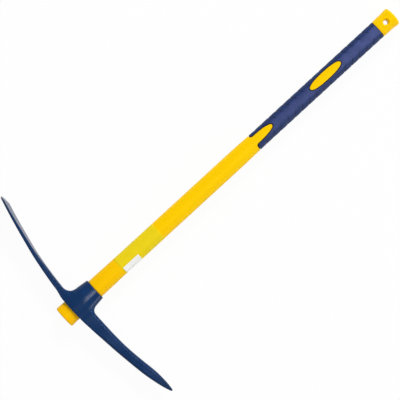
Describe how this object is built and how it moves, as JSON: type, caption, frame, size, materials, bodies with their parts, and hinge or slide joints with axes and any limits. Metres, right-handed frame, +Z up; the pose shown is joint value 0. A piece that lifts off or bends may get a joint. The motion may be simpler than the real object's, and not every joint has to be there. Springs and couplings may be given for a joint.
{
  "type": "pick axe",
  "caption": "Long-handled pick axe: a forged head with a point and a chisel blade slips over a tapered moulded handle with a soft grip and a hang hole.",
  "frame": {"origin": "centre of the handle's flat head-end face, on the handle's axis", "axes": "+X along the handle from the head end to the butt, +Y towards the chisel blade, +Z up, square to the plane of the head"},
  "size_m": [0.95, 0.549, 0.0514],
  "materials": {
    "navy_paint": "gloss",
    "yellow_jacket": "satin",
    "fibreglass": "matte",
    "blue_grip": "matte"
  },
  "bodies": {
    "handle": {"handle_jacket": "yellow_jacket", "fibreglass_core": "fibreglass", "grip_sleeve": "blue_grip"},
    "head": {"pick_head": "navy_paint"}
  },
  "joints": [
    {"name": "head_slide", "type": "slide", "parent": "handle", "child": "head", "axis": [1, 0, 0], "range_m": [0, 0.94]}
  ]
}
